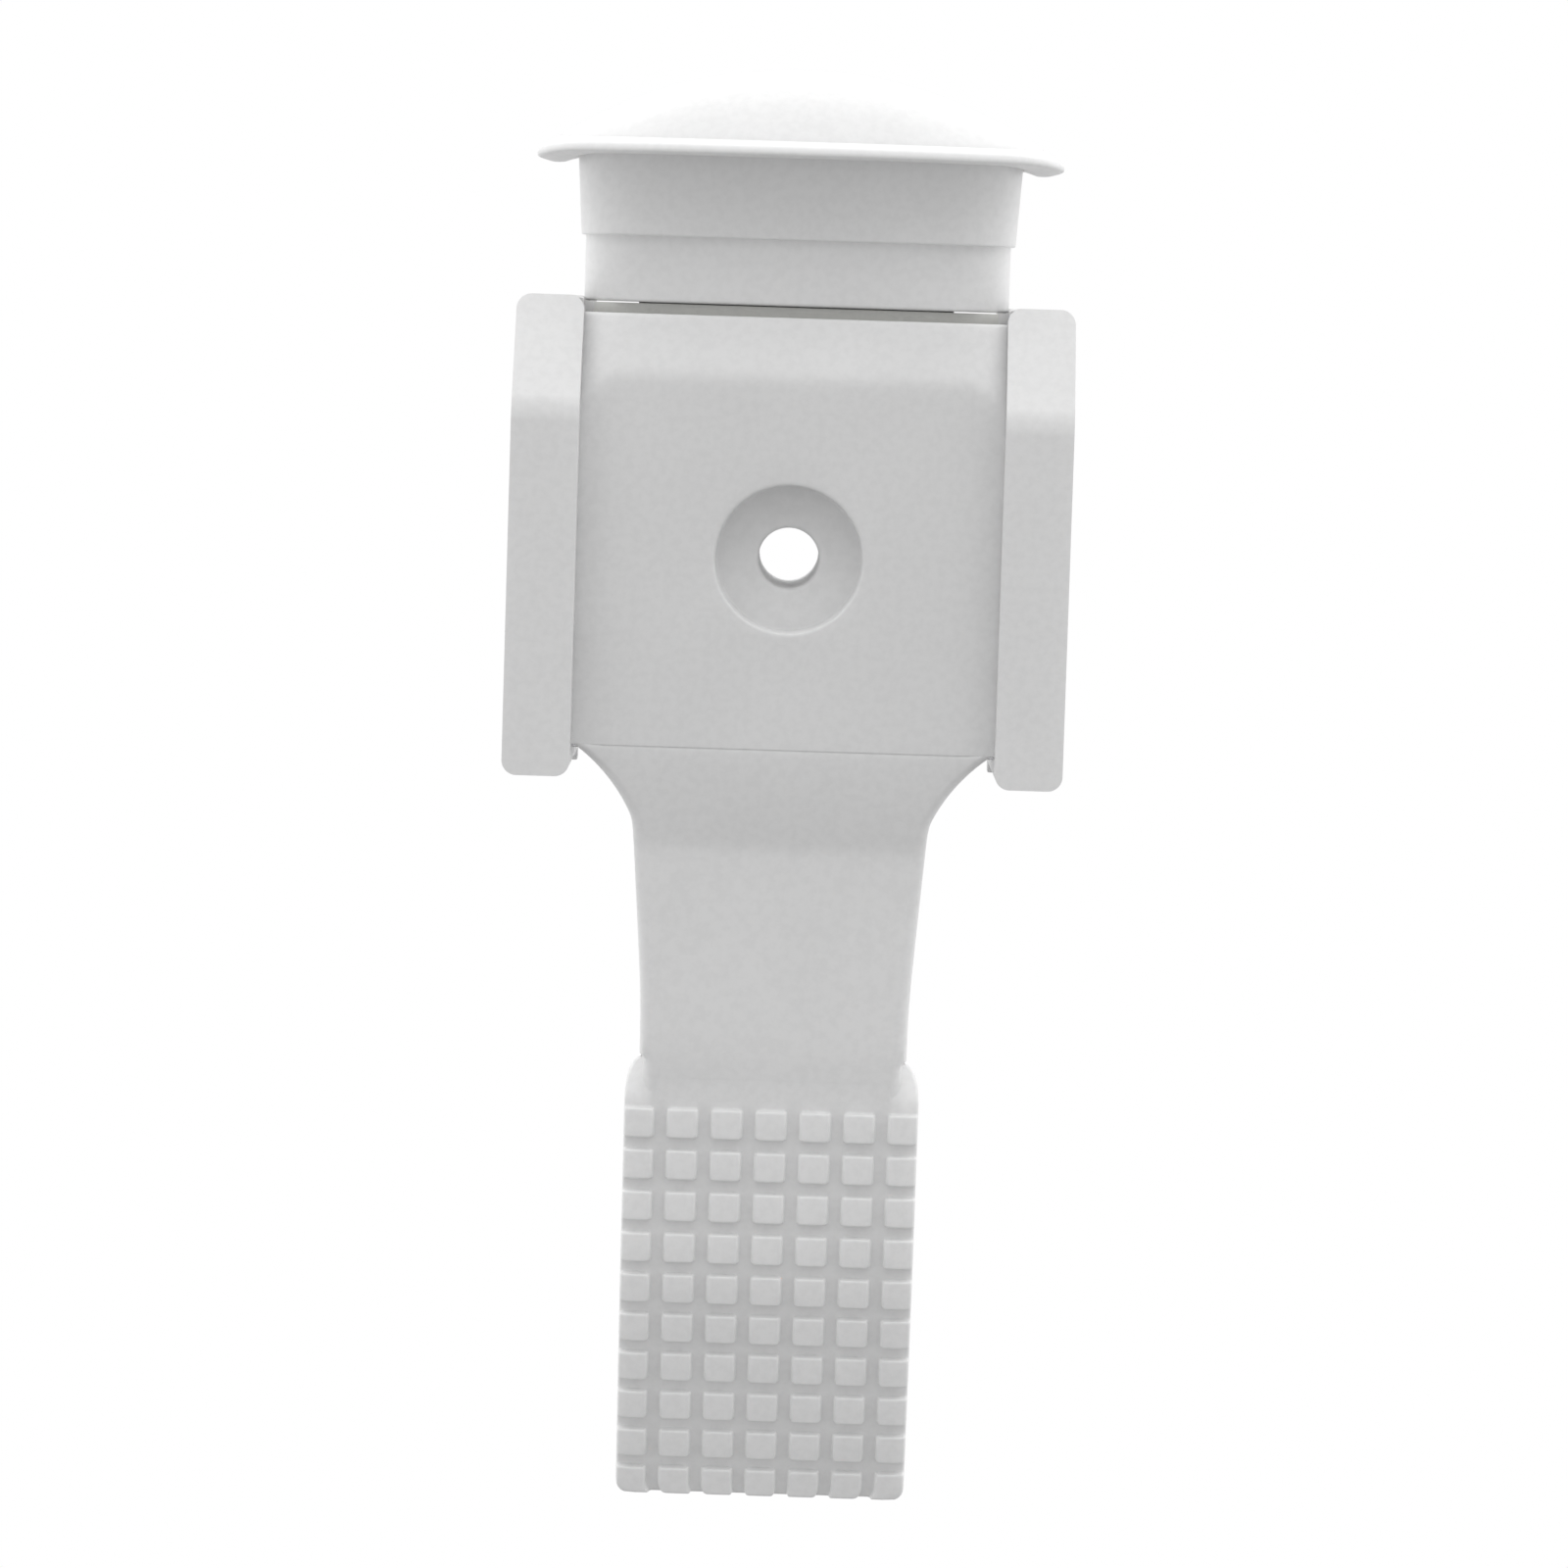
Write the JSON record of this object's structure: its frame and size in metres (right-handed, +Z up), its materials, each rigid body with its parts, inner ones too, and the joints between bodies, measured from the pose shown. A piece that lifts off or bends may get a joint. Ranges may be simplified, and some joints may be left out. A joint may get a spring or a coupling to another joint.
{
  "type": "stair gate latch",
  "caption": "Wall-screwed gate latch: housing with side rails, domed push button that lifts a drop bolt through a rocker, and a sprung release tongue with a nubbed grip.",
  "frame": {"origin": "on the axis of the mounting screw, at the plane of the wall", "axes": "+Z up along the latch, -Y out of the wall towards the user, X across the latch"},
  "size_m": [0.045, 0.0201, 0.1174],
  "materials": {
    "moulded_shell": "fine satin texture",
    "moulded_button": "smooth satin",
    "grip_elastomer": "soft matt",
    "acetal": "waxy satin",
    "plated_steel": "bright zinc plate",
    "spring_steel": "drawn wire",
    "buffer_rubber": "matt"
  },
  "bodies": {
    "base": {"housing": "moulded_shell", "face_plate": "moulded_shell", "back_cover": "moulded_shell", "cover_screws": "plated_steel", "thrust_washer": "acetal", "rocker_clip": "spring_steel", "bolt_guide": "acetal", "tongue_pin": "plated_steel", "return_spring_left": "spring_steel", "return_spring_right": "spring_steel", "stop_buffers": "buffer_rubber"},
    "button": {"button_cap": "moulded_button", "plunger": "acetal", "cap_screws": "plated_steel"},
    "rocker": {"rocker": "acetal", "rocker_pin_left": "plated_steel", "rocker_pin_right": "plated_steel"},
    "bolt": {"bolt_carrier": "acetal", "drop_bolt": "plated_steel", "bolt_rivets": "plated_steel"},
    "tongue": {"release_tongue": "moulded_shell", "grip_sleeve": "grip_elastomer", "catch_hook": "plated_steel", "hook_screws": "plated_steel", "tongue_spring": "spring_steel"}
  },
  "joints": [
    {"name": "button_press", "type": "slide", "parent": "base", "child": "button", "axis": [0, 0, -1], "range_m": [0, 0.0048], "stiffness_N_per_m": 800, "springref_m": -0.004, "deforming": ["return_spring_left", "return_spring_right"]},
    {"name": "rocker_turn", "type": "hinge", "parent": "base", "child": "rocker", "pos_m": [0, 0, 0], "axis": [0, -1, 0], "range_deg": [0, 27.8]},
    {"name": "bolt_lift", "type": "slide", "parent": "base", "child": "bolt", "axis": [0, 0, 1], "range_m": [0, 0.0048]},
    {"name": "tongue_press", "type": "hinge", "parent": "base", "child": "tongue", "pos_m": [0, -0.0139, -0.0146], "axis": [1, 0, 0], "range_deg": [0, 5], "stiffness_Nm_per_rad": 0.5, "springref_deg": -17.19}
  ],
  "couplings": [
    {"joint": "rocker_turn", "follows": "button_press", "rad_per_m": 101},
    {"joint": "bolt_lift", "follows": "button_press", "ratio": 1}
  ]
}
